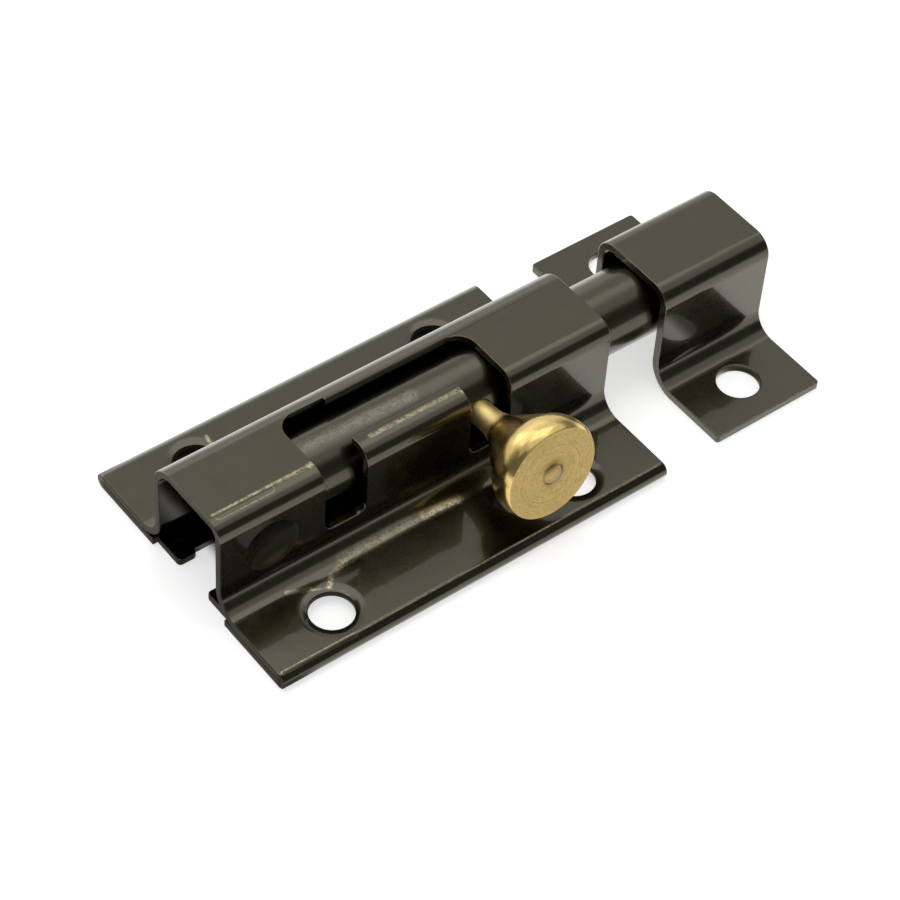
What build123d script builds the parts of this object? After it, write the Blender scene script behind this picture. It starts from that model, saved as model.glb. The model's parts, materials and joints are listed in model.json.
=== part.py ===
from build123d import *
import os
from math import sqrt

# Barrel bolt with a turned brass knob, its hemmed sheet housing and its keeper.
# +X runs along the bolt, from the housing towards the keeper. +Z points away from the door.
# The origin is the middle of the whole set's foot, on the door's face. Sizes are in millimetres
# and degrees.

# Housing, one folded sheet
body_length = 50.0
body_width = 34.0
sheet = 0.9
hem_gap = 0.1
near_shoulder_radius = 2.0
far_shoulder_radius = 3.2
foot_radius = 2.6

# Bolt, a round bar
bolt_diameter = 8.6
bolt_length = 65.0
tail_inset = 4.0
tail_chamfer = 0.5
nose_chamfer = 1.0
side_room = 0.75
top_room = 0.15
foot_room = 4.2

# Window and notches that the knob travels in
throw = 18.5
window_inset = 12.9
window_far_reach = 2.7
window_rear_reach = 3.2
window_rear_length = 6.0
window_corner = 2.2
tongue_reach = 3.0
notch_width = 5.2
notch_floor = 5.4
notch_corner = 1.2

# Dimple that steadies the bolt's tail
dimple_diameter = 6.6
dimple_inset = 6.3
dimple_foot_gap = 0.1
dimple_room = 0.1
dimple_rim_radius = 0.4

# Screw holes, with a shallow dish round each in the housing's flanges
screw_hole = 4.9
back_hole = 7.0
hole_inset = 9.25
hole_reach = 12.3
dish_diameter = 7.4
dish_depth = 0.2

# Returned plies under the housing, with the slot between them
slot_width = 6.2
tab_length = 2.9
tab_reach = 0.6
tab_corner = 0.5
return_setback = 0.6
setback_reach = 6.5

# Knob, turned from brass bar and screwed into the bolt
knob_angle = 6.3
knob_inset = 34.0
neck_diameter = 2.9
neck_length = 3.1
head_diameter = 11.8
flare_length = 6.4
rim_length = 2.5
flare_root_radius = 5.0
shoulder_round = 3.5
face_bevel_reach = 0.35
face_bevel_length = 0.7
pip_diameter = 2.3
pip_height = 0.12
stud_depth = 3.6
stud_room = 0.05

# Keeper, one folded sheet
keeper_gap = 7.8
keeper_length = 14.8
keeper_width = 32.5
keeper_sheet = 1.0
keeper_shoulder_radius = 2.4
keeper_foot_radius = 2.6
keeper_side_room = 0.45
keeper_top_room = 0.15
keeper_hole_reach = 11.1

# Places that follow from the sizes above
overall_length = body_length + keeper_gap + keeper_length
rear_x = -overall_length / 2
housing_x = rear_x + body_length / 2
keeper_x = overall_length / 2 - keeper_length
bolt_radius = bolt_diameter / 2
hem_height = 2 * sheet + hem_gap
bolt_axis_z = foot_room + bolt_radius
body_height = bolt_axis_z + bolt_radius + top_room + sheet
channel_half = bolt_radius + side_room + sheet
tab_y = slot_width / 2 - tab_reach
dimple_z = hem_height + foot_radius + dimple_foot_gap + dimple_diameter / 2
tail_x = rear_x + tail_inset
knob_x = rear_x + knob_inset
keeper_half = bolt_radius + keeper_side_room + keeper_sheet
keeper_height = bolt_axis_z + bolt_radius + keeper_top_room + keeper_sheet
hole_span = body_length - 2 * hole_inset
bolt_axis = Plane(origin=(0, 0, bolt_axis_z), x_dir=(0, 1, 0), z_dir=(1, 0, 0))
knob_plane = Plane(origin=(knob_x, 0, bolt_axis_z), x_dir=(1, 0, 0), z_dir=(0, -1, 0))
knob_plane = knob_plane.rotated((-knob_angle, 0, 0))

os.makedirs("parts", exist_ok=True)


# Housing
with BuildPart() as housing:
    for side, shoulder_radius in ((-1, near_shoulder_radius), (1, far_shoulder_radius)):
        half = Plane(origin=(rear_x, 0, 0), x_dir=(0, side, 0), z_dir=(side, 0, 0))
        with BuildSketch(half):
            with BuildLine():
                top = Line((0, body_height), (channel_half - shoulder_radius, body_height))
                shoulder = JernArc(top @ 1, top % 1, shoulder_radius, -90)
                web = Line(shoulder @ 1, (channel_half, hem_height + foot_radius))
                foot = JernArc(web @ 1, web % 1, foot_radius, 90)
                flange = Line(foot @ 1, (body_width / 2 - hem_height / 2, hem_height))
                hem = JernArc(flange @ 1, flange % 1, hem_height / 2, -180)
                Line(hem @ 1, (tab_y, 0))
                offset(amount=sheet, side=Side.RIGHT)
            make_face()
        extrude(amount=side * body_length)

    # slot between the returned plies, which leaves a small tab at each end
    with BuildSketch(Plane.XY):
        with Locations((housing_x, 0)):
            Rectangle(body_length - 2 * tab_length, slot_width)
        with Locations((rear_x, 0), (rear_x + body_length, 0)):
            Rectangle(2 * return_setback, 2 * setback_reach)
    extrude(amount=sheet + hem_gap / 2, mode=Mode.SUBTRACT)
    tab_edges = housing.edges().filter_by(Axis.Z)
    tab_edges = tab_edges.filter_by(lambda edge: abs(abs(edge.center().Y) - tab_y) < 0.01)
    fillet(tab_edges, tab_corner)

    # window in the top, a little wider at its rear end
    window_length = throw + notch_width
    window_x = rear_x + window_inset
    with BuildSketch(Plane.XY.offset(body_height)) as window:
        for reach, length in (
            (window_far_reach, window_length),
            (window_rear_reach, window_rear_length),
        ):
            with Locations((window_x + length / 2, (reach - tongue_reach) / 2)):
                Rectangle(length, reach + tongue_reach)
        for end in (0, -1):
            fillet(window.vertices().group_by(Axis.X)[end].sort_by(Axis.Y)[-1], window_corner)
    extrude(amount=-2 * sheet, mode=Mode.SUBTRACT)

    # notches down the near web, one at each end of the window
    notch_height = body_height - notch_floor + sheet
    with BuildSketch(Plane.XZ.offset(tongue_reach)):
        for notch_x in (window_x + notch_width / 2, window_x + throw + notch_width / 2):
            with Locations((notch_x, notch_floor + notch_height / 2)):
                notch = Rectangle(notch_width, notch_height)
            fillet(notch.vertices().group_by(Axis.Y)[0], notch_corner)
    extrude(amount=channel_half, mode=Mode.SUBTRACT)

    # dimple pressed inwards through the near web
    dimple_x = rear_x + dimple_inset
    dimple_depth = side_room - dimple_room
    dish_ball = ((dimple_diameter / 2) ** 2 + dimple_depth ** 2) / (2 * dimple_depth)
    for ball, face_y, mode in (
        (dish_ball + sheet, channel_half - sheet, Mode.ADD),
        (dish_ball, channel_half, Mode.SUBTRACT),
    ):
        base_radius = sqrt(ball ** 2 - (ball - dimple_depth) ** 2)
        with BuildSketch(Plane(origin=(dimple_x, -face_y, dimple_z))):
            with BuildLine():
                dome = RadiusArc((0, dimple_depth), (base_radius, 0), ball)
                Polyline(dome @ 1, (base_radius, -sheet / 2), (0, -sheet / 2), dome @ 0)
            make_face()
        revolve(axis=Axis((dimple_x, 0, dimple_z), (0, 1, 0)), mode=mode)
    rims = housing.edges().filter_by(GeomType.CIRCLE)
    rims = rims.filter_by(lambda rim: abs(rim.radius - dimple_diameter / 2) < 0.01)
    fillet(rims, dimple_rim_radius)

    # screw holes, wider in the ply underneath, with a shallow dish on top
    with Locations((housing_x, 0, hem_height)):
        with GridLocations(hole_span, 2 * hole_reach, 2, 2):
            Hole(screw_hole / 2)
    with BuildSketch(Plane.XY):
        with Locations((housing_x, 0)):
            with GridLocations(hole_span, 2 * hole_reach, 2, 2):
                Circle(back_hole / 2)
    extrude(amount=sheet + hem_gap / 2, mode=Mode.SUBTRACT)
    with Locations((housing_x, 0, hem_height - dish_depth / 2)):
        with GridLocations(hole_span, 2 * hole_reach, 2, 2):
            Cone(screw_hole / 2, dish_diameter / 2, dish_depth, mode=Mode.SUBTRACT)
housing.part.label = "housing"
export_step(housing.part, "parts/housing.step")


# Bolt
with BuildPart() as bolt:
    with BuildSketch(bolt_axis.offset(tail_x)):
        Circle(bolt_radius)
    extrude(amount=bolt_length)
    chamfer(bolt.faces().sort_by(Axis.X)[0].edges(), tail_chamfer)
    chamfer(bolt.faces().sort_by(Axis.X)[-1].edges(), nose_chamfer)
    with BuildSketch(knob_plane.offset(bolt_radius - stud_depth)):
        Circle(neck_diameter / 2 + stud_room)
    extrude(amount=bolt_radius, mode=Mode.SUBTRACT)
bolt.part.label = "bolt"
export_step(bolt.part, "parts/bolt.step")


# Knob
stud_end = bolt_radius - stud_depth + stud_room
flare_start = bolt_radius + neck_length
flare_end = flare_start + flare_length
face_place = flare_end + rim_length
with BuildPart() as knob:
    with BuildSketch(Plane(origin=knob_plane.origin, x_dir=knob_plane.x_dir, z_dir=-knob_plane.y_dir)):
        with BuildLine():
            Polyline(
                (0, stud_end),
                (neck_diameter / 2, stud_end),
                (neck_diameter / 2, flare_start),
                (head_diameter / 2, flare_end),
                (head_diameter / 2, face_place - face_bevel_length),
                (head_diameter / 2 - face_bevel_reach, face_place),
                (pip_diameter / 2, face_place),
                (pip_diameter / 2, face_place + pip_height),
                (0, face_place + pip_height),
                close=True,
            )
        profile = make_face()
        corners = profile.vertices().sort_by(Axis.Y)
        flare_root = corners.filter_by_position(Axis.Y, flare_start - 0.01, flare_start + 0.01)
        head_shoulder = corners.filter_by_position(Axis.Y, flare_end - 0.01, flare_end + 0.01)
        fillet(flare_root, flare_root_radius)
        fillet(head_shoulder, shoulder_round)
    revolve(axis=Axis(knob_plane.origin, knob_plane.z_dir))
knob.part.label = "knob"
export_step(knob.part, "parts/knob.step")


# Keeper
with BuildPart() as keeper:
    with BuildSketch(Plane.YZ.offset(keeper_x)):
        with BuildLine():
            top = Line((0, keeper_height), (keeper_half - keeper_shoulder_radius, keeper_height))
            shoulder = JernArc(top @ 1, top % 1, keeper_shoulder_radius, -90)
            web = Line(shoulder @ 1, (keeper_half, keeper_sheet + keeper_foot_radius))
            foot = JernArc(web @ 1, web % 1, keeper_foot_radius, 90)
            Line(foot @ 1, (keeper_width / 2, keeper_sheet))
            offset(amount=keeper_sheet, side=Side.RIGHT)
        make_face()
        mirror(about=Plane.YZ)
    extrude(amount=keeper_length)
    with Locations((keeper_x + keeper_length / 2, 0, keeper_sheet)):
        with GridLocations(0, 2 * keeper_hole_reach, 1, 2):
            Hole(screw_hole / 2)
keeper.part.label = "keeper"
export_step(keeper.part, "parts/keeper.step")
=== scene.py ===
"""Finished look of a barrel bolt: a folded, hemmed housing, its bar, its brass knob and its keeper."""

import json
import logging
from dataclasses import dataclass
from enum import Enum
from math import atan2, cos, pi, radians, sin, tan
from typing import Any

import bmesh
import bpy
from mathutils import Matrix, Vector

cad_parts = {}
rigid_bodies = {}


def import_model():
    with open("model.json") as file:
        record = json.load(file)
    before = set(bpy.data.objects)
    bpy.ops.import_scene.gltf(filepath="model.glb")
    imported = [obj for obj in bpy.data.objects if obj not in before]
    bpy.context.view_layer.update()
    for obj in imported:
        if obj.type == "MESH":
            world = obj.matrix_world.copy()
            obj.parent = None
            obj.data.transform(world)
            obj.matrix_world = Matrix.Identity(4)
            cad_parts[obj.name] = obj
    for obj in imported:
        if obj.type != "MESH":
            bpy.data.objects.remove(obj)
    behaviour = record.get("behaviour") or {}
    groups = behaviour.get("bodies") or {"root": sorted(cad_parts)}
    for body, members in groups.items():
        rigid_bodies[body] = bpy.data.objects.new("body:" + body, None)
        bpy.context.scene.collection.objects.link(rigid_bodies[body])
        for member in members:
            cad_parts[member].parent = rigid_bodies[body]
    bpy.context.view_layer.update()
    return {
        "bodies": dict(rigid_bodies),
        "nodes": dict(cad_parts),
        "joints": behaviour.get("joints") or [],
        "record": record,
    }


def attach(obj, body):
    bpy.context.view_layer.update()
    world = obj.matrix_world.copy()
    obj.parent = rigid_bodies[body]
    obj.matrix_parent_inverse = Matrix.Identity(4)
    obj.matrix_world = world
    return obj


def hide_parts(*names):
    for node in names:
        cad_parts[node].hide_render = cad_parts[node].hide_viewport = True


LOG = logging.getLogger("barrel_bolt")

# one millimetre in metres, which is the scene's unit
MM = 0.001
# points within this distance are one, in millimetres
SAME_POINT = 0.0001
# points within this distance are merged once the edges are eased
SLIVER = 0.002
# places within this distance count as equal
NEAR = 0.01
# faces that meet at less than this angle are one flat face, in radians
FLAT_ANGLE = 0.004
# how much more the large faces count in the shading
LARGE_FACE_WEIGHT = 100

Colour = tuple[float, float, float]
Place = tuple[float, float, float]


class RayKind(Enum):
    """Kinds of ray that see the pale background itself."""

    CAMERA = "Is Camera Ray"
    GLOSSY = "Is Glossy Ray"
    TRANSMISSION = "Is Transmission Ray"


class CardKind(Enum):
    """What a studio card does to the reflections in the metal."""

    BRIGHT = "bright"
    DARK = "dark"


class NodeTree:
    """A small helper that adds and links shader nodes."""

    def __init__(self, owner: Any) -> None:
        """Start with an empty tree.

        Args:
            owner: a material or a world that uses nodes.
        """
        owner.use_nodes = True
        self.nodes = owner.node_tree.nodes
        self.links = owner.node_tree.links
        self.nodes.clear()

    def add(self, kind: str, inputs: dict[str | int, Any] | None = None, **settings: Any) -> Any:
        """Add one node.

        Args:
            kind: the node's type name.
            inputs: socket name or number to a value, or to another node's output socket.
            settings: the node's own settings.

        Returns:
            The new node.
        """
        node = self.nodes.new(kind)
        for name, value in settings.items():
            setattr(node, name, value)
        for name, value in (inputs or {}).items():
            if isinstance(value, bpy.types.NodeSocket):
                self.links.new(value, node.inputs[name])
            else:
                node.inputs[name].default_value = value
        return node

    def math(self, operation: str, first: Any, second: Any = 0.0, clamp: bool = False) -> Any:
        """Combine two values.

        Args:
            operation: the math node's operation.
            first: a value or a socket.
            second: another one, where the operation needs it.
            clamp: whether the result is kept between 0 and 1.

        Returns:
            The socket of the result.
        """
        node = self.add("ShaderNodeMath", {0: first, 1: second}, operation=operation, use_clamp=clamp)
        return node.outputs[0]

    def product(self, first: Any, *others: Any) -> Any:
        """Multiply values.

        Args:
            first: a value or a socket.
            others: more of them.

        Returns:
            The socket of the product.
        """
        total = first
        for factor in others:
            total = self.math("MULTIPLY", total, factor)
        return total

    def vector(self, operation: str, first: Any, second: Any = (0.0, 0.0, 0.0)) -> Any:
        """Combine two vectors.

        Args:
            operation: the vector math node's operation.
            first: a vector or a socket.
            second: another one, where the operation needs it.

        Returns:
            The socket of the result, a single value for a length, a distance or a dot product.
        """
        node = self.add("ShaderNodeVectorMath", {0: first, 1: second}, operation=operation)
        return node.outputs["Value" if operation in ("LENGTH", "DISTANCE", "DOT_PRODUCT") else "Vector"]

    def blend(self, share: Any, first: Any, second: Any) -> Any:
        """Mix two colours, by the colour sockets of a mix node.

        Args:
            share: how much of the second colour there is.
            first: a colour or a socket.
            second: another one.

        Returns:
            The socket of the mixed colour.
        """
        inputs = {0: share, 6: first, 7: second}
        return self.add("ShaderNodeMix", inputs, data_type="RGBA", clamp_factor=True).outputs[2]

    def distance(self, place: Any, point: Vector, reach: Vector) -> Any:
        """Measure the distance from a point, with each axis in its own unit.

        Args:
            place: the coordinates' socket.
            point: the point.
            reach: the length that counts as 1 along each axis.

        Returns:
            The socket of the distance.
        """
        return self.vector("LENGTH", self.vector("DIVIDE", self.vector("SUBTRACT", place, point), reach))


@dataclass(frozen=True)
class Ramp:
    """A smooth step from one value to another.

    Args:
        start: input at which it begins.
        end: input at which it is complete.
        before: its value up to the start.
        after: its value from the end on.
    """

    start: float
    end: float
    before: float = 0.0
    after: float = 1.0

    def on(self, tree: NodeTree, value: Any) -> Any:
        """Add the step to a tree.

        Args:
            tree: the nodes.
            value: the input's socket.

        Returns:
            The socket of the step's value.
        """
        inputs = {
            "Value": value,
            "From Min": self.start,
            "From Max": self.end,
            "To Min": self.before,
            "To Max": self.after,
        }
        return tree.add("ShaderNodeMapRange", inputs, interpolation_type="SMOOTHSTEP").outputs["Result"]


@dataclass(frozen=True)
class Pattern:
    """An irregular pattern with cells of one size.

    Args:
        scale: how many cells go into a metre.
        detail: how many finer layers it has.
        roughness: how strong the finer layers are.
    """

    scale: float
    detail: float
    roughness: float = 0.5

    def on(self, tree: NodeTree, place: Any) -> Any:
        """Add the pattern to a tree.

        Args:
            tree: the nodes.
            place: the coordinates' socket.

        Returns:
            The socket of the pattern's value.
        """
        inputs = {"Vector": place, "Scale": self.scale, "Detail": self.detail, "Roughness": self.roughness}
        return tree.add("ShaderNodeTexNoise", inputs).outputs["Fac"]


@dataclass(frozen=True)
class WearAndHighlightStroke:
    """A stroke painted in the wear colour: a painted highlight, in places also wear of the coat.

    Args:
        start: where it starts, in millimetres.
        end: where it ends.
        width: how far it reaches to each side of its line.
        share: how strongly the wear and highlight colour covers the coat.
        hollow: distance from its middle at which it is drawn, where it is a narrow loop.
        core: part of its width that is at full strength.
    """

    start: Place
    end: Place
    width: float
    share: float
    hollow: float = 0.0
    core: float = 0.25

    def cover(self, tree: NodeTree, place: Any) -> Any:
        """Work out how strongly the stroke is painted at each place.

        Args:
            tree: the material's nodes.
            place: the coordinates' socket.

        Returns:
            The socket of the stroke's share of the wear and highlight colour.
        """
        along = (Vector(self.end) - Vector(self.start)) * MM
        away = tree.vector("SUBTRACT", place, Vector(self.start) * MM)
        part = tree.math("DIVIDE", tree.vector("DOT_PRODUCT", away, along), along.length_squared, clamp=True)
        foot = tree.add("ShaderNodeVectorMath", {0: along, "Scale": part}, operation="SCALE").outputs[0]
        off_line = tree.math("SUBTRACT", tree.vector("DISTANCE", away, foot), self.hollow * MM)
        step = Ramp(self.width * self.core * MM, self.width * MM, self.share, 0.0)
        return step.on(tree, tree.math("ABSOLUTE", off_line))


@dataclass(frozen=True)
class CoatFinish:
    """Dark bronze plating under clear lacquer, with brassy wear along its cut edges and strokes of painted
    highlight, partly also wear, along bends and edges.

    Args:
        name: the material's name.
        edge_share: how strongly the wear colour shows along cut edges.
        strokes: strokes of painted highlight, partly also wear.
        plate: colour of the plating, seen as reflected light.
        wear_and_highlight: colour of the bare metal along the cut edges, which also paints the strokes'
            highlights.
        cloud_gain: how much lighter the plating is in its lighter clouds.
        plate_roughness: roughness of the plating under the lacquer.
        lacquer_roughness: roughness of the lacquer's own gloss.
        lacquer_tint: colour of the lacquer.
        lacquer_index: its index of refraction.
        wave: height of the slow waves in the surface, in metres.
        ripple: height of the quicker ripples.
        grain: height of the fine grain under the lacquer.
        waves: the slow waves' pattern.
        ripples: the ripples' pattern.
        grains: the grain's pattern.
        mottle: the clouds' pattern.
        breaks: pattern of the coarse gaps in the wear and in the painted highlights.
        speckle: pattern of the fine gaps in them.
        cloudy: step into a lighter cloud.
        dull: the same step for the factor on the plating's roughness.
        broken: step out of a coarse gap.
        speckled: step out of a fine gap.
    """

    name: str
    edge_share: float
    strokes: tuple[WearAndHighlightStroke, ...] = ()
    plate: Colour = (0.054, 0.048, 0.029)
    wear_and_highlight: Colour = (0.56, 0.49, 0.33)
    cloud_gain: float = 1.06
    plate_roughness: float = 0.28
    lacquer_roughness: float = 0.06
    lacquer_tint: Colour = (1.0, 0.965, 0.87)
    lacquer_index: float = 1.5
    wave: float = 0.06 * MM
    ripple: float = 0.014 * MM
    grain: float = 0.0015 * MM
    waves: Pattern = Pattern(130.0, 1.0)
    ripples: Pattern = Pattern(420.0, 1.0)
    grains: Pattern = Pattern(5200.0, 2.0, 0.6)
    mottle: Pattern = Pattern(420.0, 3.0, 0.6)
    breaks: Pattern = Pattern(1100.0, 3.0, 0.7)
    speckle: Pattern = Pattern(3600.0, 2.0, 0.7)
    cloudy: Ramp = Ramp(0.3, 0.7)
    dull: Ramp = Ramp(0.3, 0.75, 0.9, 1.12)
    broken: Ramp = Ramp(0.36, 0.56, 0.42, 1.0)
    speckled: Ramp = Ramp(0.24, 0.6)

    def make(self) -> bpy.types.Material:
        """Build the finish.

        Returns:
            The material.
        """
        material = bpy.data.materials.new(self.name)
        tree = NodeTree(material)
        place = tree.add("ShaderNodeTexCoord").outputs["Object"]
        mottle = self.mottle.on(tree, place)
        lighter = tuple(channel * self.cloud_gain for channel in self.plate)
        clouds = tree.blend(self.cloudy.on(tree, mottle), rgba(self.plate), rgba(lighter))
        # the wear colour shows along cut edges and, as painted highlights, along the strokes
        colour = tree.blend(self.wear_and_highlights(tree, place), clouds, rgba(self.wear_and_highlight))
        wavy, grainy = self.bumps(tree, place)
        shader = tree.add(
            "ShaderNodeBsdfPrincipled",
            {
                "Base Color": colour,
                "Metallic": 1.0,
                "Roughness": tree.product(self.dull.on(tree, mottle), self.plate_roughness),
                "Normal": grainy,
                "Coat Weight": self.gloss(tree, place),
                "Coat Roughness": self.lacquer_roughness,
                "Coat IOR": self.lacquer_index,
                "Coat Tint": rgba(self.lacquer_tint),
                "Coat Normal": wavy,
            },
        )
        tree.add("ShaderNodeOutputMaterial", {"Surface": shader.outputs[0]})
        return material

    def wear_and_highlights(self, tree: NodeTree, place: Any) -> Any:
        """Work out where the wear along cut edges and the strokes' painted highlights show, with small gaps.

        Args:
            tree: the material's nodes.
            place: the coordinates' socket.

        Returns:
            The socket of the share of the wear and highlight colour.
        """
        edge = tree.add("ShaderNodeAttribute", attribute_name="rub").outputs["Fac"]
        # the cut edges' wear, and the strokes' painted highlights
        wear_and_highlight_share = tree.product(edge, self.edge_share)
        for stroke in self.strokes:
            wear_and_highlight_share = tree.math("MAXIMUM", wear_and_highlight_share, stroke.cover(tree, place))
        broken = self.broken.on(tree, self.breaks.on(tree, place))
        return tree.product(wear_and_highlight_share, broken, self.speckled.on(tree, self.speckle.on(tree, place)))

    def bumps(self, tree: NodeTree, place: Any) -> tuple[Any, Any]:
        """Add the waves in the surface and the grain under the lacquer.

        Args:
            tree: the material's nodes.
            place: the coordinates' socket.

        Returns:
            The sockets of the wavy normal and of the grainy one.
        """
        waves = tree.product(self.waves.on(tree, place), self.wave)
        ripples = tree.product(self.ripples.on(tree, place), self.ripple)
        height = tree.math("ADD", tree.math("ADD", waves, ripples), self.relief(tree, place))
        wavy = tree.add("ShaderNodeBump", {"Height": height, "Distance": 1.0, "Strength": 1.0}).outputs[0]
        grains = self.grains.on(tree, place)
        inputs = {"Height": grains, "Distance": self.grain, "Strength": 1.0, "Normal": wavy}
        return wavy, tree.add("ShaderNodeBump", inputs).outputs[0]

    def relief(self, tree: NodeTree, place: Any) -> Any:
        """Return the height of the finish's own forms: a plain coat has none."""
        return 0.0

    def gloss(self, tree: NodeTree, place: Any) -> Any:
        """Return how much of the lacquer there is: a plain coat is lacquered all over."""
        return 1.0


@dataclass(frozen=True)
class HousingCoat(CoatFinish):
    """The coat on the housing, softer along its hems, with thinner lacquer as painted shade in its dimple
    and beside the knob.

    Args:
        roll: the soft roll along the hems, from the reach at which it begins to the fold, in metres.
        dimple_place: the middle of the dimple, in millimetres.
        dimple_gloss: step of the lacquer from that middle outwards, thin inside as painted shade.
        shaded_place: the middle of the place beside the knob where thinner lacquer paints shade.
        shaded_reach: how far that place reaches along each axis.
        shaded_gloss: step of the lacquer from its middle to its rim, which counts as 1.
    """

    roll: Ramp = Ramp(15.9 * MM, 16.7 * MM, 0.0, -0.24 * MM)
    dimple_place: Place = (-30.0, -5.6, 7.9)
    dimple_gloss: Ramp = Ramp(2.8, 3.7, 0.3, 1.0)
    shaded_place: Place = (-5.5, -6.6, 7.0)
    shaded_reach: Place = (9.0, 4.0, 7.0)
    shaded_gloss: Ramp = Ramp(0.5, 1.0, 0.3, 1.0)

    def relief(self, tree: NodeTree, place: Any) -> Any:
        """Return the height of the soft roll along the hems, in metres."""
        split = tree.add("ShaderNodeSeparateXYZ", {0: place})
        return self.roll.on(tree, tree.math("ABSOLUTE", split.outputs["Y"]))

    def gloss(self, tree: NodeTree, place: Any) -> Any:
        """Work out the lacquer, which is thin inside the dimple and beside the knob, as painted shade.

        Args:
            tree: the material's nodes.
            place: the coordinates' socket.

        Returns:
            The socket of how much lacquer there is.
        """
        # thinner lacquer in the dimple and beside the knob dims their reflections as painted shade
        from_dimple = tree.distance(place, Vector(self.dimple_place) * MM, Vector((MM, MM, MM)))
        from_knob = tree.distance(place, Vector(self.shaded_place) * MM, Vector(self.shaded_reach) * MM)
        return tree.product(self.dimple_gloss.on(tree, from_dimple), self.shaded_gloss.on(tree, from_knob))


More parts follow.
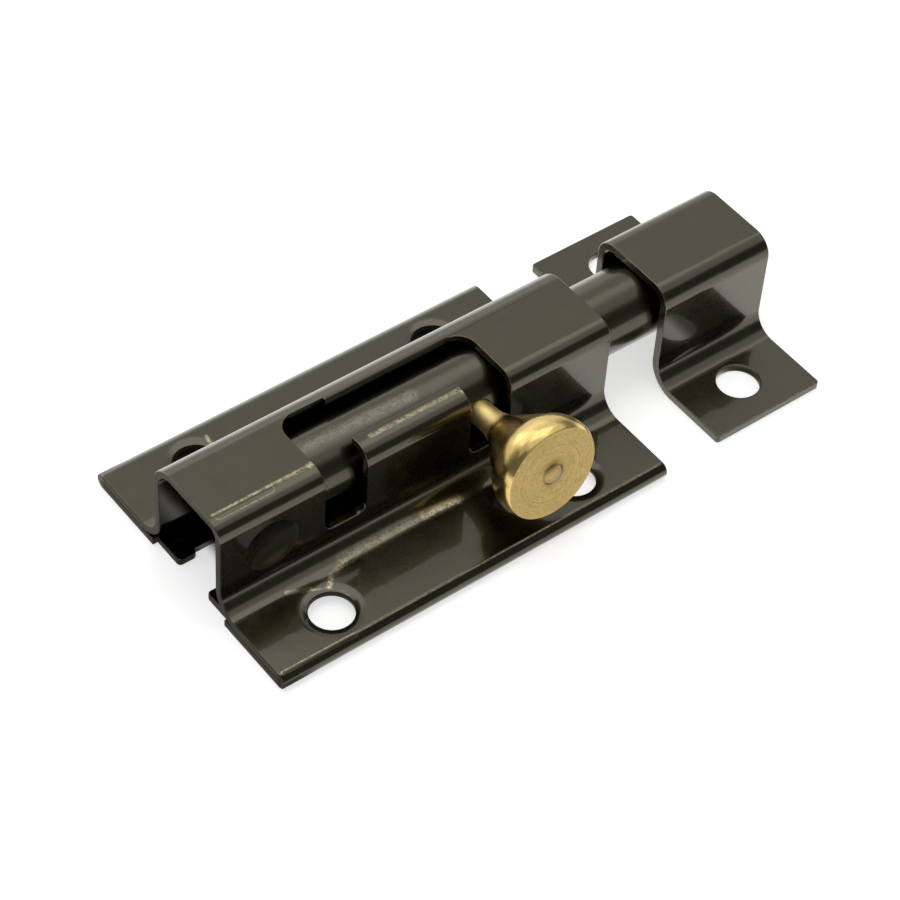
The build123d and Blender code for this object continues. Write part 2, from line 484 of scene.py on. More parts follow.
@dataclass(frozen=True)
class BrassFinish:
    """Turned brass with fine tool marks round its axis and a dull, lightly stained skin, a painted highlight
    on its neck and painted shade on its end face.

    Args:
        name: the material's name.
        axis_place: a point on the knob's axis, in metres.
        axis: direction of the knob's axis, outwards.
        bright: colour of the clean brass.
        stain: colour of its brown stains.
        neck_highlight: colour of the neck's painted highlight.
        dirt: colour of the dirt in the end face's tool marks.
        pip_shade: colour of the line round the pip.
        face: step onto the end face, by the place along the axis, in metres.
        neck: step off the neck, by the same place.
        ring_scale: how many tool marks go into a metre.
        ring_detail: how many finer layers they have.
        ring_slant: how much a step along the axis counts beside one across it.
        scratch: pattern of the scratches.
        specks: pattern of the small stains.
        clouds: pattern of the large stains.
        mark_depth: depth of the marks on the sides, in metres, and as much again on the end face.
        scratch_part: how high the scratches are beside the tool marks.
        cloudy: step into a large stain.
        specked: step into a small stain.
        streaked: step into a stained tool mark.
        streak_gaps: step out of the gaps in it.
        streak_share: how strong it is.
        face_shade: how much the end face is darkened towards the stain's colour, as painted shade.
        dirty: step into a dirty tool mark of the end face.
        dirt_gaps: step out of the gaps in it.
        dirt_share: how strong the dirt is.
        neck_highlight_share: how strongly the painted highlight covers the neck.
        roughness: step of the roughness over the scratches.
        face_roughness: what the end face adds to it.
        neck_roughness: what the neck adds to it.
        pip_centre: height of the middle of the end face, in millimetres.
        pip_radius: radius of the line round the pip.
        pip_edge: step away from that line, in metres.
        lean: parts of the way across and the way down in the direction away from the light.
        lee: step of the line's strength along that direction, in metres.
    """

    name: str
    axis_place: Vector
    axis: Vector
    bright: Colour = (0.84, 0.62, 0.23)
    stain: Colour = (0.3, 0.21, 0.08)
    neck_highlight: Colour = (1.0, 0.79, 0.35)
    dirt: Colour = (0.16, 0.11, 0.035)
    pip_shade: Colour = (0.05, 0.034, 0.012)
    face: Ramp = Ramp(16.25 * MM, 16.3 * MM)
    neck: Ramp = Ramp(7.2 * MM, 8.4 * MM, 1.0, 0.0)
    ring_scale: float = 7000.0
    ring_detail: float = 3.0
    ring_slant: float = 0.9
    scratch: Pattern = Pattern(3200.0, 3.0, 0.6)
    specks: Pattern = Pattern(6500.0, 2.0, 0.6)
    clouds: Pattern = Pattern(420.0, 3.0, 0.6)
    mark_depth: float = 0.006 * MM
    scratch_part: float = 0.3
    cloudy: Ramp = Ramp(0.5, 0.75, 0.0, 0.3)
    specked: Ramp = Ramp(0.55, 0.75, 0.0, 0.4)
    streaked: Ramp = Ramp(0.45, 0.75)
    streak_gaps: Ramp = Ramp(0.4, 0.6)
    streak_share: float = 0.4
    face_shade: float = 0.6
    dirty: Ramp = Ramp(0.5, 0.72)
    dirt_gaps: Ramp = Ramp(0.42, 0.6)
    dirt_share: float = 0.6
    neck_highlight_share: float = 0.85
    roughness: Ramp = Ramp(0.3, 0.7, 0.17, 0.27)
    face_roughness: float = 0.28
    neck_roughness: float = 0.3
    pip_centre: float = 10.29
    pip_radius: float = 1.21
    pip_edge: Ramp = Ramp(0.06 * MM, 0.2 * MM, 1.0, 0.0)
    lean: tuple[float, float] = (0.6, 0.8)
    lee: Ramp = Ramp(-0.4 * MM, 0.7 * MM, 0.3, 0.9)

    def make(self) -> bpy.types.Material:
        """Build the finish.

        Returns:
            The material.
        """
        material = bpy.data.materials.new(self.name)
        tree = NodeTree(material)
        place = tree.add("ShaderNodeTexCoord").outputs["Object"]
        reach, along = self.turned_place(tree, place)
        on_face, on_neck = self.face.on(tree, along), self.neck.on(tree, along)
        rings = self.tool_marks(tree, reach, along)
        scratch = self.scratch.on(tree, place)

        colour = self.stained(tree, place, rings, scratch)
        # painted shade: the end face darkened towards the stain's colour
        colour = tree.blend(tree.product(on_face, self.face_shade), colour, rgba(self.stain))
        dirt = tree.product(self.dirty.on(tree, rings), self.dirt_gaps.on(tree, scratch))
        colour = tree.blend(tree.product(dirt, on_face, self.dirt_share), colour, rgba(self.dirt))
        pip_line = tree.product(self.pip_line(tree, place, reach), on_face)
        colour = tree.blend(pip_line, colour, rgba(self.pip_shade))
        # painted highlight: the neck lightened to bright brass
        colour = tree.blend(tree.product(on_neck, self.neck_highlight_share), colour, rgba(self.neck_highlight))

        marks = tree.math("ADD", rings, tree.product(scratch, self.scratch_part))
        depth = tree.math("ADD", tree.product(on_face, self.mark_depth), self.mark_depth)
        bump = tree.add(
            "ShaderNodeBump", {"Height": tree.product(marks, depth), "Distance": 1.0, "Strength": 1.0}
        )
        face_part = tree.product(on_face, self.face_roughness)
        rougher = tree.math("ADD", face_part, tree.product(on_neck, self.neck_roughness))
        rough = tree.math("ADD", self.roughness.on(tree, scratch), rougher)
        shader = tree.add(
            "ShaderNodeBsdfPrincipled",
            {"Base Color": colour, "Metallic": 1.0, "Roughness": rough, "Normal": bump.outputs[0]},
        )
        tree.add("ShaderNodeOutputMaterial", {"Surface": shader.outputs[0]})
        return material

    def turned_place(self, tree: NodeTree, place: Any) -> tuple[Any, Any]:
        """Measure places from the knob's axis.

        Args:
            tree: the material's nodes.
            place: the coordinates' socket.

        Returns:
            The sockets of the distance from the axis and of the place along it.
        """
        turn = self.axis.to_track_quat("Z", "Y").to_matrix().to_euler()
        inputs = {"Vector": place, "Location": self.axis_place, "Rotation": turn}
        local = tree.add("ShaderNodeMapping", inputs, vector_type="TEXTURE").outputs[0]
        split = tree.add("ShaderNodeSeparateXYZ", {0: local}).outputs
        flat = tree.add("ShaderNodeCombineXYZ", {"X": split["X"], "Y": split["Y"]})
        return tree.vector("LENGTH", flat.outputs[0]), split["Z"]

    def tool_marks(self, tree: NodeTree, reach: Any, along: Any) -> Any:
        """Add the rings that the turning tool left.

        Args:
            tree: the material's nodes.
            reach: the socket of the distance from the axis.
            along: the socket of the place along it.

        Returns:
            The socket of the rings' pattern.
        """
        across = tree.math("ADD", reach, tree.product(along, self.ring_slant))
        inputs = {"W": across, "Scale": self.ring_scale, "Detail": self.ring_detail}
        return tree.add("ShaderNodeTexNoise", inputs, noise_dimensions="1D").outputs["Fac"]

    def stained(self, tree: NodeTree, place: Any, rings: Any, scratch: Any) -> Any:
        """Stain the clean brass.

        Args:
            tree: the material's nodes.
            place: the coordinates' socket.
            rings: the socket of the tool marks.
            scratch: the socket of the scratches.

        Returns:
            The socket of the stained colour.
        """
        gaps = self.streak_gaps.on(tree, scratch)
        streaks = tree.product(self.streaked.on(tree, rings), gaps, self.streak_share)
        grimy = tree.math("MAXIMUM", self.specked.on(tree, self.specks.on(tree, place)), streaks)
        cover = tree.math("MAXIMUM", self.cloudy.on(tree, self.clouds.on(tree, place)), grimy)
        return tree.blend(cover, rgba(self.bright), rgba(self.stain))

    def pip_line(self, tree: NodeTree, place: Any, reach: Any) -> Any:
        """Draw the dark line round the pip, stronger on the side away from the light.

        Args:
            tree: the material's nodes.
            place: the coordinates' socket.
            reach: the socket of the distance from the axis.

        Returns:
            The socket of the line's strength.
        """
        split = tree.add("ShaderNodeSeparateXYZ", {0: place}).outputs
        beside = tree.product(tree.math("SUBTRACT", split["X"], self.axis_place.x), self.lean[0])
        below = tree.product(tree.math("SUBTRACT", self.pip_centre * MM, split["Z"]), self.lean[1])
        strength = self.lee.on(tree, tree.math("ADD", beside, below))
        off_line = tree.math("ABSOLUTE", tree.math("SUBTRACT", reach, self.pip_radius * MM))
        return tree.product(self.pip_edge.on(tree, off_line), strength)


@dataclass
class FoldedPart:
    """A piece that is shaped on its solid, with its sharp edges eased.

    Args:
        name: the finished piece's name.
        node: the solid that it stands for.
        body: the body that it rides on.
        slot: the record's material slot; not used.
        finish: the finish that it wears.
        edge: size of the easing on its sharp edges, in millimetres.
        strips: how many strips the easing has.
        sharp: the angle from which an edge counts as sharp.
    """

    name: str
    node: str
    body: str
    slot: str
    finish: CoatFinish
    edge: float = 0.12
    strips: int = 2
    sharp: float = radians(35.0)

    def build(self, frame: dict[str, Any]) -> bpy.types.Object:
        """Shape, dress and place the piece.

        Args:
            frame: what the frame holds.

        Returns:
            The finished object.
        """
        work = bmesh.new()
        work.from_mesh(frame["nodes"][self.node].data)
        bmesh.ops.remove_doubles(work, verts=work.verts, dist=SAME_POINT * MM)
        bmesh.ops.dissolve_limit(work, angle_limit=FLAT_ANGLE, verts=work.verts, edges=work.edges)
        self.shape(work)
        self.ease(work)
        return dressed(self, work, self.finish.make())

    def shape(self, work: bmesh.types.BMesh) -> None:
        """Change nothing: a plain piece keeps its solid's form."""

    def ease(self, work: bmesh.types.BMesh) -> None:
        """Round the sharp edges and mark the rounded strips for the wear colour.

        Args:
            work: the mesh in work.
        """
        rub = work.faces.layers.float.new("rub")
        edges = [e for e in work.edges if len(e.link_faces) == 2 and e.calc_face_angle(0.0) > self.sharp]
        for face in round_edges(work, edges, self.edge * MM, self.strips):
            face[rub] = 1.0
        bmesh.ops.remove_doubles(work, verts=work.verts, dist=SLIVER * MM)
        bmesh.ops.recalc_face_normals(work, faces=work.faces)


@dataclass
class Keeper(FoldedPart):
    """The folded keeper, whose flanges have slightly rounded corners.

    Args:
        outer_reach: reach of the flanges' outer edge, in millimetres.
        corner: radius of their corners.
        corner_strips: how many strips a corner has.
    """

    outer_reach: float = 16.25
    corner: float = 0.36
    corner_strips: int = 4

    def shape(self, work: bmesh.types.BMesh) -> None:
        """Round the upright edges at the flanges' corners.

        Args:
            work: the mesh in work.
        """
        def is_corner(edge: bmesh.types.BMEdge) -> bool:
            """Say whether an edge stands upright at a flange's outer edge."""
            at_edge = all(abs(abs(v.co.y) - self.outer_reach * MM) < NEAR * MM for v in edge.verts)
            return at_edge and (edge.verts[0].co.xy - edge.verts[1].co.xy).length < NEAR * MM

        corners = [e for e in work.edges if is_corner(e)]
        round_edges(work, corners, self.corner * MM, self.corner_strips)


@dataclass
class Housing(FoldedPart):
    """The folded and hemmed housing.

    Args:
        hole_places: the screw holes' places along the housing, in millimetres.
        hole_reach: their distance from the middle plane.
        flange_top: height of the flanges' upper face.
        dish_depth: depth of the dish round each screw hole.
        dish_radius: its radius.
        dish_slope: how far a dish's faces look up at least, where 1 is straight up.
        dimple_place: a point on the dimple's axis.
        dimple_flat: radius round that axis within which the dimple's mesh has no inner points.
    """

    hole_places: tuple[float, ...] = (-27.05, 4.45)
    hole_reach: float = 12.3
    flange_top: float = 1.9
    dish_depth: float = 0.2
    dish_radius: float = 3.7
    dish_slope: float = 0.5
    dimple_place: Place = (-30.0, 0.0, 7.9)
    dimple_flat: float = 0.3

    def shape(self, work: bmesh.types.BMesh) -> None:
        """Lay the dishes anew and flatten the pole of the dimple's mesh.

        Args:
            work: the mesh in work.
        """
        for along in self.hole_places:
            for side in (-1, 1):
                self.smooth_dish(work, Vector((along, side * self.hole_reach)) * MM)
        across = Vector((0.0, 1.0, 0.0))
        middle = Vector(self.dimple_place) * MM
        inner = [v for v in work.verts if (v.co - middle).cross(across).length < self.dimple_flat * MM]
        bmesh.ops.dissolve_verts(work, verts=[v for v in inner if v.co.y < 0.0])

    def smooth_dish(self, work: bmesh.types.BMesh, centre: Vector) -> None:
        """Replace the facets of one dish by an even ring.

        Args:
            work: the mesh in work.
            centre: the middle of its screw hole.
        """
        bottom = (self.flange_top - self.dish_depth - NEAR) * MM
        top = (self.flange_top + NEAR) * MM
        rim = (self.dish_radius + NEAR) * MM

        def in_dish(face: bmesh.types.BMFace) -> bool:
            """Say whether a face belongs to the dish."""
            inside = all((v.co.xy - centre).length < rim and bottom < v.co.z < top for v in face.verts)
            return inside and face.normal.z > self.dish_slope

        bmesh.ops.delete(work, geom=[f for f in work.faces if in_dish(f)], context="FACES")
        made = bmesh.ops.bridge_loops(work, edges=[e for e in work.edges if e.is_boundary])
        bmesh.ops.recalc_face_normals(work, faces=work.faces)
        LOG.info("dish ring of %d faces", len(made["faces"]))


@dataclass
class Knob:
    """The turned brass knob: stud, neck, flared head with a bevelled face, tool rings and a pip.

    Args:
        finish: the brass.
        axis_place: where its axis crosses the bolt's, in millimetres.
        axis: direction of its axis, outwards.
        name: the finished piece's name.
        node: the solid that it stands for.
        body: the body that it rides on.
        slot: the record's material slot; not used.
        stud_end: where the stud starts inside the bolt, from the bolt's axis.
        neck_radius: radius of the stud and the neck.
        flare_start: where the neck meets the flare.
        flare_end: where the flare meets the rim.
        head_radius: radius of the rim.
        bevel_length: length of the bevel between the rim and the end face.
        bevel_reach: how far the bevel reaches inwards.
        face_place: where the end face lies.
        pip_radius: radius of the pip in the middle of the face.
        pip_draft: how much smaller the pip is at its top.
        pip_height: how far it stands up.
        root_round: radius between the neck and the flare.
        shoulder_round: radius between the flare and the rim.
        rim_round: how far the rounding at the bevel's outer edge reaches.
        face_round: how far the one at its inner edge reaches.
        round_strips: how many strips these four roundings have, from the neck to the face.
        rings: radius and depth of each tool ring in the face.
        ring_half: half width of a tool ring.
        steps: how many steps the turning has.
    """

    finish: BrassFinish
    axis_place: Vector
    axis: Vector
    name: str = "knob_finished"
    node: str = "knob"
    body: str = "bolt"
    slot: str = "brass"
    stud_end: float = 0.75
    neck_radius: float = 1.45
    flare_start: float = 7.4
    flare_end: float = 13.8
    head_radius: float = 5.9
    bevel_length: float = 0.7
    bevel_reach: float = 0.35
    face_place: float = 16.3
    pip_radius: float = 1.15
    pip_draft: float = 0.04
    pip_height: float = 0.12
    root_round: float = 5.0
    shoulder_round: float = 3.5
    rim_round: float = 0.25
    face_round: float = 0.06
    round_strips: tuple[int, int, int, int] = (10, 10, 3, 2)
    rings: tuple[tuple[float, float], ...] = ((5.3, 0.02), (4.35, 0.012), (3.3, 0.016), (2.45, 0.01))
    ring_half: float = 0.09
    steps: int = 128

    def build(self, frame: dict[str, Any]) -> bpy.types.Object:
        """Turn the knob, put it in its place and dress it.

        Args:
            frame: what the frame holds, of which a turned piece needs nothing.

        Returns:
            The finished object.
        """
        work = bmesh.new()
        self.turn(work)
        self.round_rings(work)
        bmesh.ops.recalc_face_normals(work, faces=work.faces)
        turned = self.axis.to_track_quat("Z", "Y").to_matrix().to_4x4()
        place = Matrix.Translation(self.axis_place * MM) @ turned
        bmesh.ops.transform(work, matrix=place @ Matrix.Scale(MM, 4), verts=work.verts)
        return dressed(self, work, self.finish.make())

    def profile(self) -> list[tuple[float, float]]:
        """Draw the turned outline.

        Returns:
            Radius and place along the axis of its points, from the stud to the pip.
        """
        outline = [
            (0.0, self.stud_end),
            (self.neck_radius, self.stud_end),
            (self.neck_radius, self.flare_start),
            (self.head_radius, self.flare_end),
            (self.head_radius, self.face_place - self.bevel_length),
            (self.head_radius - self.bevel_reach, self.face_place),
        ]
        for radius, depth in self.rings:
            outline += [
                (radius + self.ring_half, self.face_place),
                (radius, self.face_place - depth),
                (radius - self.ring_half, self.face_place),
            ]
        outline += [
            (self.pip_radius, self.face_place),
            (self.pip_radius - self.pip_draft, self.face_place + self.pip_height),
            (0.0, self.face_place + self.pip_height),
        ]
        return outline

    def turn(self, work: bmesh.types.BMesh) -> None:
        """Spin the outline round the axis.

        Args:
            work: the mesh in work.
        """
        verts = [work.verts.new((radius, 0.0, along)) for radius, along in self.profile()]
        edges = [work.edges.new(pair) for pair in zip(verts, verts[1:])]
        bmesh.ops.spin(
            work,
            geom=[*verts, *edges],
            cent=(0.0, 0.0, 0.0),
            axis=(0.0, 0.0, 1.0),
            angle=2 * pi,
            steps=self.steps,
            use_merge=True,
        )
        bmesh.ops.remove_doubles(work, verts=work.verts, dist=SAME_POINT)

    def ring_edges(self, work: bmesh.types.BMesh, radius: float, along: float) -> list[bmesh.types.BMEdge]:
        """Find the edges of one ring.

        Args:
            work: the mesh in work.
            radius: the ring's radius.
            along: its place along the axis.

        Returns:
            Its edges.
        """
        def on_ring(vert: bmesh.types.BMVert) -> bool:
            """Say whether a point lies on the ring."""
            return abs(vert.co.z - along) < NEAR and abs(vert.co.xy.length - radius) < NEAR

        return [e for e in work.edges if on_ring(e.verts[0]) and on_ring(e.verts[1])]

    def round_rings(self, work: bmesh.types.BMesh) -> None:
        """Round the root of the flare, the head's shoulder and the bevel's two edges.

        Args:
            work: the mesh in work.
        """
        slope = atan2(self.head_radius - self.neck_radius, self.flare_end - self.flare_start)
        roundings = (
            (self.neck_radius, self.flare_start, self.root_round * tan(slope / 2)),
            (self.head_radius, self.flare_end, self.shoulder_round * tan(slope / 2)),
            (self.head_radius, self.face_place - self.bevel_length, self.rim_round),
            (self.head_radius - self.bevel_reach, self.face_place, self.face_round),
        )
        for (radius, along, reach), strips in zip(roundings, self.round_strips):
            round_edges(work, self.ring_edges(work, radius, along), reach, strips)


@dataclass(frozen=True)
class SoftCard:
    """A studio card with soft edges, which shows only in the metal.

    Args:
        name: the card's name.
        kind: whether it brightens or darkens.
        azimuth: direction from the object, in degrees from +Y towards +X.
        elevation: degrees above the floor.
        wide: degrees that it covers across.
        tall: degrees that it covers upwards.
        level: how bright its face is, where 1 is white.
        fade: share of its half size that fades out.
        distance: metres from the object.
    """

    name: str
    kind: CardKind
    azimuth: float
    elevation: float
    wide: float
    tall: float
    level: float
    fade: float
    distance: float = 0.6

    def make(self) -> None:
        """Make the card, turned towards the object."""
        work = bmesh.new()
        work.loops.layers.uv.new("card")
        bmesh.ops.create_grid(work, x_segments=1, y_segments=1, size=0.5, calc_uvs=True)
        width = 2 * self.distance * tan(radians(self.wide / 2))
        height = 2 * self.distance * tan(radians(self.tall / 2))
        bmesh.ops.scale(work, vec=(width, height, 1.0), verts=work.verts)
        away = direction(self.azimuth, self.elevation)
        bmesh.ops.transform(work, matrix=away.to_track_quat("Z", "Y").to_matrix().to_4x4(), verts=work.verts)
        bmesh.ops.translate(work, vec=away * self.distance, verts=work.verts)
        card = staged(self.name, work, self.material())
        card.visible_camera = False
        card.visible_diffuse = False
        card.visible_shadow = False

    def material(self) -> bpy.types.Material:
        """Build the card's material, which fades out towards its edges.

        Returns:
            The material.
        """
        material = bpy.data.materials.new(self.name)
        tree = NodeTree(material)
        split = tree.add("ShaderNodeSeparateXYZ", {0: tree.add("ShaderNodeTexCoord").outputs["UV"]})
        edge = Ramp(0.5 * (1.0 - self.fade), 0.5, 1.0, 0.0)
        parts = []
        for axis in ("X", "Y"):
            off_middle = tree.math("ABSOLUTE", tree.math("SUBTRACT", split.outputs[axis], 0.5))
            parts.append(edge.on(tree, off_middle))
        clear = tree.add("ShaderNodeBsdfTransparent").outputs[0]
        face = tree.add("ShaderNodeEmission", {"Strength": self.level}).outputs[0]
        if self.kind is CardKind.BRIGHT:
            face = tree.add("ShaderNodeAddShader", {0: face, 1: clear}).outputs[0]
        mixed = tree.add("ShaderNodeMixShader", {0: tree.product(*parts), 1: clear, 2: face})
        tree.add("ShaderNodeOutputMaterial", {"Surface": mixed.outputs[0]})
        return material


@dataclass(frozen=True)
class Footprint:
    """What a folded piece covers of the floor, in millimetres.

    Args:
        start: where it starts along the bolt.
        end: where it ends.
        far_reach: how far the dark inside it reaches, away from the knob.
        half: half of its width.
    """

    start: float
    end: float
    far_reach: float
    half: float


@dataclass(frozen=True)
class WhiteFloor:
    """The floor, with painted shadow inside the channels and, in reflections, under the flanges and behind
    the rear end.

    Args:
        size: length of its side, in metres.
        colour: its colour.
        glow: extra brightness where it is seen itself.
        footprints: what the folded pieces cover of it.
        near_reach: how far the dark inside a channel reaches, towards the knob, in millimetres.
        end_fade: how softly the dark begins and ends along the bolt.
        side_fade: how softly the dark inside a channel ends at its sides.
        edge_fade: how softly the dark under a flange ends at its edge.
        flange_shade: how dark the floor under the flanges is in reflections.
        rear_start: step into the dark behind the housing's open rear end, in metres.
        rear_end: step out of it, under the housing.
        rear_side: step out of it sideways.
        rear_shade: how dark it is in reflections.
        dark: colour of the painted shadow inside a channel.
        hole_shadow: colour of the painted shadow that shows through the far screw holes.
        far_holes: step from the one colour to the other, across the bolt, in metres.
    """

    size: float = 6.0
    colour: Colour = (0.88, 0.88, 0.87)
    glow: float = 0.6
    footprints: tuple[Footprint, ...] = (
        Footprint(start=-32.5, end=13.7, far_reach=17.0, half=17.0),
        Footprint(start=28.5, end=36.3, far_reach=5.4, half=16.2),
    )
    near_reach: float = 5.4
    end_fade: float = 2.0
    side_fade: float = 0.6
    edge_fade: float = 1.0
    flange_shade: float = 0.78
    rear_start: Ramp = Ramp(-56.0 * MM, -46.0 * MM)
    rear_end: Ramp = Ramp(-34.0 * MM, -31.0 * MM, 1.0, 0.0)
    rear_side: Ramp = Ramp(17.0 * MM, 26.0 * MM, 1.0, 0.0)
    rear_shade: float = 0.8
    dark: Colour = (0.03, 0.024, 0.017)
    hole_shadow: Colour = (0.16, 0.125, 0.1)
    far_holes: Ramp = Ramp(7.0 * MM, 9.0 * MM)

    def make(self) -> None:
        """Lay the floor."""
        work = bmesh.new()
        bmesh.ops.create_grid(work, x_segments=1, y_segments=1, size=self.size / 2)
        material = bpy.data.materials.new("white_floor")
        tree = NodeTree(material)
        place = tree.add("ShaderNodeTexCoord").outputs["Object"]
        split = tree.add("ShaderNodeSeparateXYZ", {0: place}).outputs
        # painted shadow inside the channels and under the far holes, and, in reflections, under the flanges
        # and behind the rear end
        painted_shadow = self.painted_shadow(tree, split["X"], split["Y"])
        far_holes = self.far_holes.on(tree, split["Y"])
        shaded = tree.blend(far_holes, rgba(self.dark), rgba(self.hole_shadow))
        matte = tree.add("ShaderNodeBsdfDiffuse", {"Color": tree.blend(painted_shadow, rgba(self.colour), shaded)})
        strength = tree.product(seen_itself(tree), self.glow, tree.math("SUBTRACT", 1.0, painted_shadow))
        glow = tree.add("ShaderNodeEmission", {"Strength": strength})
        both = tree.add("ShaderNodeAddShader", {0: matte.outputs[0], 1: glow.outputs[0]})
        tree.add("ShaderNodeOutputMaterial", {"Surface": both.outputs[0]})
        staged("floor", work, material)

    def painted_shadow(self, tree: NodeTree, along: Any, across: Any) -> Any:
        """Work out the floor's painted shadow at each place.

        Args:
            tree: the floor's nodes.
            along: the socket of the place along the bolt.
            across: the socket of the place across it.

        Returns:
            The socket of the painted shadow's strength.
        """
        reach = tree.math("ABSOLUTE", across)
        near = Ramp(-self.near_reach * MM, (self.side_fade - self.near_reach) * MM).on(tree, across)
        channels, flanges = 0.0, 0.0
        for piece in self.footprints:
            begins = Ramp(piece.start * MM, (piece.start + self.end_fade) * MM)
            ends = Ramp((piece.end - self.end_fade) * MM, piece.end * MM, 1.0, 0.0)
            far = Ramp((piece.far_reach - self.side_fade) * MM, piece.far_reach * MM, 1.0, 0.0)
            edge = Ramp((piece.half - self.edge_fade) * MM, piece.half * MM, 1.0, 0.0)
            inside = tree.product(begins.on(tree, along), ends.on(tree, along))
            narrow = tree.product(near, far.on(tree, across))
            channels = tree.math("MAXIMUM", channels, tree.product(inside, narrow))
            flanges = tree.math("MAXIMUM", flanges, tree.product(inside, edge.on(tree, reach)))
        rear = tree.product(
            self.rear_start.on(tree, along),
            self.rear_end.on(tree, along),
            self.rear_side.on(tree, reach),
            self.rear_shade,
        )
        mirrored = tree.math("MAXIMUM", tree.product(flanges, self.flange_shade), rear)
        glossy = tree.add("ShaderNodeLightPath").outputs[RayKind.GLOSSY.value]
        return tree.math("MAXIMUM", channels, tree.product(mirrored, glossy))


@dataclass(frozen=True)
class Studio:
    """The pale floor, the cards, the lamp and the white surroundings.

    Args:
        floor: the floor.
        cards: the cards that show in the metal.
        fill: how strongly the surroundings light the object.
        lamp_brightness: how bright the lamp's face is.
        lamp_size: its width and height, in metres.
        lamp_azimuth: its direction from the object, in degrees from +Y towards +X.
        lamp_elevation: its degrees above the floor.
        lamp_distance: its distance, in metres.
    """

    floor: WhiteFloor
    cards: tuple[SoftCard, ...]
    fill: float = 0.55
    lamp_brightness: float = 1.6
    lamp_size: tuple[float, float] = (0.7, 0.5)
    lamp_azimuth: float = -10.0
    lamp_elevation: float = 78.0
    lamp_distance: float = 0.9

    def build(self) -> None:
        """Make everything round the object."""
        self.floor.make()
        self.hang_lamp()
        for card in self.cards:
            card.make()
        self.surround()

    def hang_lamp(self) -> None:
        """Hang one large soft lamp overhead."""
        lamp = bpy.data.lights.new("overhead", "AREA")
        lamp.shape = "RECTANGLE"
        lamp.size, lamp.size_y = self.lamp_size
        lamp.energy = self.lamp_brightness * pi * lamp.size * lamp.size_y
        holder = bpy.data.objects.new("overhead", lamp)
        bpy.context.scene.collection.objects.link(holder)
        away = direction(self.lamp_azimuth, self.lamp_elevation)
        turned = away.to_track_quat("Z", "Y").to_matrix().to_4x4()
        holder.matrix_world = Matrix.Translation(away * self.lamp_distance) @ turned
        holder.visible_glossy = False

    def surround(self) -> None:
        """Make the white world, softer for the light that it sheds."""
        world = bpy.data.worlds.new("white_surroundings")
        bpy.context.scene.world = world
        tree = NodeTree(world)
        strength = tree.math("ADD", self.fill, tree.product(seen_itself(tree), 1.0 - self.fill))
        glow = tree.add("ShaderNodeBackground", {"Strength": strength})
        tree.add("ShaderNodeOutputWorld", {"Surface": glow.outputs[0]})


@dataclass(frozen=True)
class PhotoCamera:
    """The camera at the photograph's angle.

    Args:
        target: the point that it looks at, in millimetres.
        azimuth: degrees that it stands round from -Y towards +X.
        elevation: degrees above the floor.
        roll: degrees that it is turned about its own axis.
        distance: millimetres from the target.
        lens: focal length, for the sensor's width.
        sensor: width of the sensor, in millimetres.
        clip: nearest and farthest distance that it sees, in metres.
    """

    target: Place = (-2.844, -0.460, 0.0)
    azimuth: float = -40.525
    elevation: float = 47.616
    roll: float = 4.312
    distance: float = 314.044
    lens: float = 117.025
    sensor: float = 36.0
    clip: tuple[float, float] = (0.01, 20.0)

    def make(self) -> None:
        """Place the camera and make it the scene's own."""
        data = bpy.data.cameras.new("camera")
        data.lens = self.lens
        data.sensor_width = self.sensor
        data.clip_start, data.clip_end = self.clip
        holder = bpy.data.objects.new("camera", data)
        bpy.context.scene.collection.objects.link(holder)
        turn, rise, roll = radians(self.azimuth), radians(self.elevation), radians(self.roll)
        back = Vector((sin(turn) * cos(rise), -cos(turn) * cos(rise), sin(rise)))
        level = Vector((cos(turn), sin(turn), 0.0))
        up = back.cross(level)
        right = level * cos(roll) + up * sin(roll)
        top = up * cos(roll) - level * sin(roll)
        turned = Matrix((right, top, back)).transposed().to_4x4()
        place = Vector(self.target) * MM + back * (self.distance * MM)
        holder.matrix_world = Matrix.Translation(place) @ turned
        bpy.context.scene.camera = holder


def rgba(colour: Colour) -> tuple[float, float, float, float]:
    """Return a colour with full opacity."""
    return (*colour, 1.0)


def direction(azimuth: float, elevation: float) -> Vector:
    """Return the unit vector at azimuth degrees from +Y towards +X and elevation degrees up."""
    turn, rise = radians(azimuth), radians(elevation)
    return Vector((sin(turn) * cos(rise), cos(turn) * cos(rise), sin(rise)))


def seen_itself(tree: NodeTree) -> Any:
    """Tell the rays that see the background itself from those that light the object.

    Args:
        tree: the background's nodes.

    Returns:
        The socket of a value that is 1 for the rays that see it.
    """
    path = tree.add("ShaderNodeLightPath").outputs
    total = path[RayKind.CAMERA.value]
    for kind in (RayKind.GLOSSY, RayKind.TRANSMISSION):
        total = tree.math("MAXIMUM", total, path[kind.value])
    return total


def round_edges(
    work: bmesh.types.BMesh, edges: list[bmesh.types.BMEdge], reach: float, strips: int
) -> list[bmesh.types.BMFace]:
    """Round some edges.

    Args:
        work: the mesh in work.
        edges: the edges.
        reach: how far the rounding reaches, in the mesh's own unit.
        strips: how many strips it has.

    Returns:
        The faces of the rounding.
    """
    made = bmesh.ops.bevel(
        work,
        geom=edges,
        offset=reach,
        offset_type="OFFSET",
        affect="EDGES",
        segments=strips,
        profile=0.5,
        material=-1,
    )
    return made["faces"]


def linked(name: str, work: bmesh.types.BMesh, material: bpy.types.Material) -> bpy.types.Object:
    """Turn a finished bmesh into an object of the scene.

    Args:
        name: the object's name.
        work: the finished mesh, which is freed.
        material: what it wears.

    Returns:
        The new object.
    """
    mesh = bpy.data.meshes.new(name)
    work.to_mesh(mesh)
    work.free()
    mesh.materials.append(material)
    item = bpy.data.objects.new(name, mesh)
    bpy.context.scene.collection.objects.link(item)
    return item


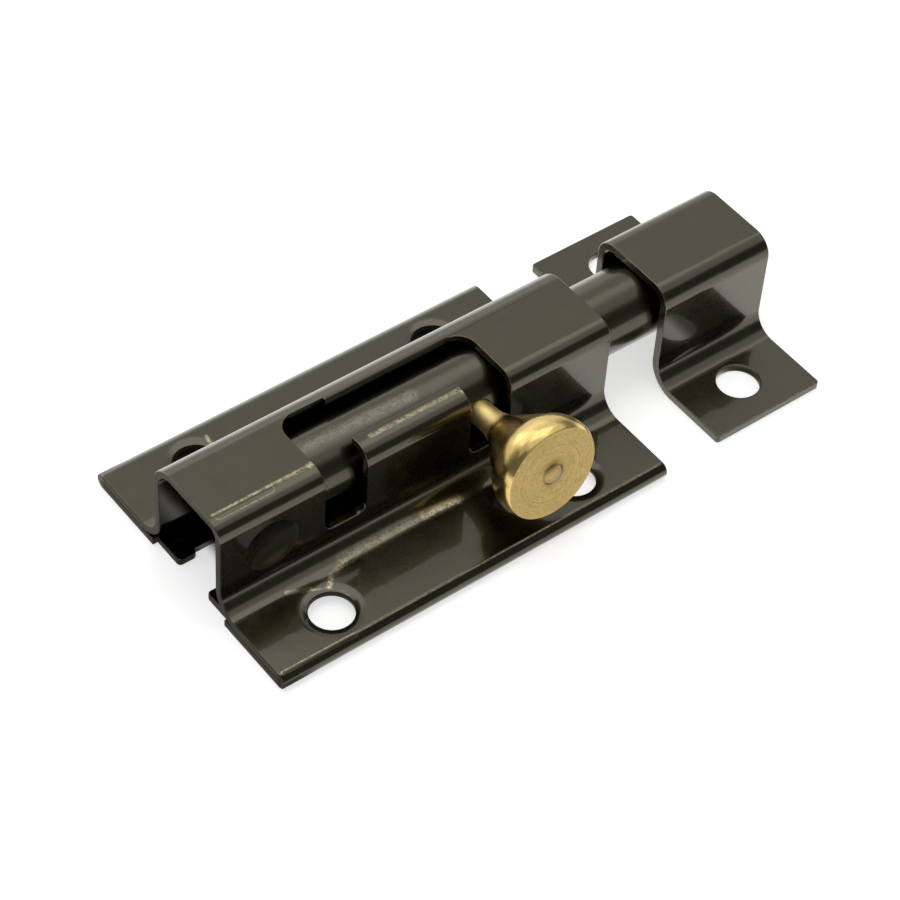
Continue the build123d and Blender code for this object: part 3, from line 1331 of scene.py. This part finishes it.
def dressed(
    part: FoldedPart | Knob, work: bmesh.types.BMesh, material: bpy.types.Material
) -> bpy.types.Object:
    """Turn a finished bmesh into the piece that stands for a solid.

    Args:
        part: the part, which gives the piece's name, node and body.
        work: the finished mesh, which is freed.
        material: what it wears.

    Returns:
        The new object.
    """
    for face in work.faces:
        face.smooth = True
    piece = linked(part.name, work, material)
    weights = piece.modifiers.new("even_shading", "WEIGHTED_NORMAL")
    weights.weight = LARGE_FACE_WEIGHT
    weights.keep_sharp = True
    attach(piece, part.body)
    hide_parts(part.node)
    return piece


def staged(name: str, work: bmesh.types.BMesh, material: bpy.types.Material) -> bpy.types.Object:
    """Turn a finished bmesh into an object of the scene, for the studio round the object.

    Args:
        name: the object's name.
        work: the finished mesh, which is freed.
        material: what it wears.

    Returns:
        The new object.
    """
    item = linked(name, work, material)
    return item


def wear_and_highlight_lines() -> tuple[WearAndHighlightStroke, ...]:
    """List the housing's strokes of painted highlight, some of them also wear of the coat.

    Returns:
        The strokes, each with its start, its end, its reach to each side and its share of the wear and
        highlight colour.
    """
    return (
        # along the near shoulder, from the rear end to the rear notch: a painted highlight's outline, a line
        # of brassy wear and painted highlight, and a painted bright corner
        WearAndHighlightStroke((-35.1, -4.06, 13.83), (-29.0, -4.08, 13.83), 0.1, 0.3, hollow=0.42),
        WearAndHighlightStroke((-35.6, -3.64, 13.85), (-23.7, -3.62, 13.85), 0.24, 0.82),
        WearAndHighlightStroke((-28.5, -3.7, 13.85), (-23.9, -3.75, 13.85), 0.4, 0.45),
        WearAndHighlightStroke((-24.0, -3.7, 13.85), (-23.6, -3.65, 13.85), 0.5, 1.0),
        # along the near hem: painted highlight lines
        WearAndHighlightStroke((-35.7, -16.12, 1.88), (-27.0, -16.26, 1.88), 0.1, 0.55, hollow=0.22),
        WearAndHighlightStroke((-27.0, -16.2, 1.9), (13.2, -16.2, 1.9), 0.13, 0.45),
        # from the near foot bend round the rear hole's dish and back: painted highlights
        WearAndHighlightStroke((-35.3, -8.05, 2.6), (-30.0, -7.9, 2.6), 0.14, 0.5),
        WearAndHighlightStroke((-29.6, -8.0, 2.0), (-27.3, -8.85, 1.9), 0.4, 0.5),
        WearAndHighlightStroke((-27.3, -9.0, 1.9), (-25.6, -9.75, 1.88), 0.2, 0.7),
        WearAndHighlightStroke((-25.6, -9.75, 1.88), (-24.65, -10.9, 1.88), 0.16, 0.6),
        WearAndHighlightStroke((-24.65, -10.9, 1.88), (-24.4, -12.5, 1.88), 0.2, 0.8),
        WearAndHighlightStroke((-25.5, -9.7, 1.9), (-24.5, -8.7, 1.95), 0.42, 0.85),
        WearAndHighlightStroke((-24.5, -8.7, 1.95), (-22.0, -7.9, 2.2), 0.5, 0.5),
        # along the near foot bend, below the window: a broad painted highlight
        WearAndHighlightStroke((-22.4, -7.6, 2.4), (-12.0, -7.8, 2.4), 0.9, 0.28),
        WearAndHighlightStroke((-12.0, -7.8, 2.4), (-7.6, -8.0, 2.3), 0.9, 0.6),
        # on the rim of the far rear dish: brassy wear and a painted highlight
        WearAndHighlightStroke((-24.1, 14.6, 1.9), (-24.3, 13.5, 1.9), 0.3, 0.6),
        # along the tongue between the notches: a painted highlight line with a bright end
        WearAndHighlightStroke((-16.5, -3.9, 13.8), (-5.2, -3.9, 13.8), 0.4, 0.66),
        WearAndHighlightStroke((-5.1, -3.9, 13.8), (-5.0, -4.2, 13.7), 0.45, 0.7),
    )


def object_parts() -> tuple[FoldedPart | Knob, ...]:
    """Describe the object's pieces and their finishes.

    Returns:
        The parts, ready to be built.
    """
    bar_coat = CoatFinish(
        "bronze_coat_bar",
        edge_share=0.15,
        # a painted highlight along the bar's top in the window, partly also wear from sliding
        strokes=(WearAndHighlightStroke((-23.0, -0.4, 12.75), (-9.0, -0.9, 12.72), 1.1, 0.17),),
        plate=(0.05, 0.042, 0.024),
        wear_and_highlight=(0.52, 0.49, 0.41),
        plate_roughness=0.32,
        lacquer_roughness=0.14,
        wave=0.02 * MM,
        ripple=0.004 * MM,
        grain=0.003 * MM,
    )
    housing_coat = HousingCoat("bronze_coat_housing", edge_share=0.12, strokes=wear_and_highlight_lines())
    keeper_coat = CoatFinish("bronze_coat_keeper", edge_share=0.2)
    axis_place = Vector((-2.3, 0.0, 8.5))
    tilt = radians(6.3)
    axis = Vector((0.0, -cos(tilt), sin(tilt)))
    brass = BrassFinish("turned_brass", axis_place * MM, axis)
    return (
        Housing("housing_finished", "housing", "housing", "bronze_coat", housing_coat),
        Keeper("keeper_finished", "keeper", "housing", "bronze_coat", keeper_coat),
        FoldedPart("bolt_finished", "bolt", "bolt", "bolt_coat", bar_coat, edge=0.08),
        Knob(brass, axis_place, axis),
    )


def studio_cards() -> tuple[SoftCard, ...]:
    """List the cards that give the metal its light and dark sides.

    Returns:
        The cards, each with its azimuth, elevation, width and height in degrees, its level and its fade.
    """
    return (
        SoftCard("ceiling_card", CardKind.BRIGHT, 40.0, 76.0, 60.0, 50.0, 0.9, 0.4),
        SoftCard("left_card", CardKind.BRIGHT, -12.0, 26.0, 28.0, 24.0, 1.3, 0.5),
        SoftCard("neck_card", CardKind.BRIGHT, -16.0, 44.0, 44.0, 20.0, 0.7, 0.5),
        SoftCard("upper_card", CardKind.DARK, -72.0, 54.0, 50.0, 34.0, 0.5, 0.5),
        SoftCard("side_card", CardKind.DARK, -95.0, 22.0, 100.0, 84.0, 0.12, 0.35),
        SoftCard("camera_card", CardKind.DARK, -160.0, 25.0, 70.0, 80.0, 0.25, 0.35),
        SoftCard("right_card", CardKind.DARK, 85.0, 20.0, 70.0, 34.0, 0.2, 0.4),
        SoftCard("back_card", CardKind.BRIGHT, 20.0, 28.0, 40.0, 30.0, 0.4, 0.6),
        SoftCard("front_card", CardKind.DARK, 150.0, 24.0, 90.0, 48.0, 0.12, 0.4),
    )


def main() -> None:
    """Build the whole scene, piece by piece."""
    logging.basicConfig(level=logging.INFO, format="%(name)s: %(message)s")
    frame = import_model()
    bpy.context.scene.view_settings.view_transform = "Standard"
    for part in object_parts():
        piece = part.build(frame)
        LOG.info("%s has %d faces", piece.name, len(piece.data.polygons))
    Studio(WhiteFloor(), studio_cards()).build()
    PhotoCamera().make()


if __name__ == "__main__":
    main()
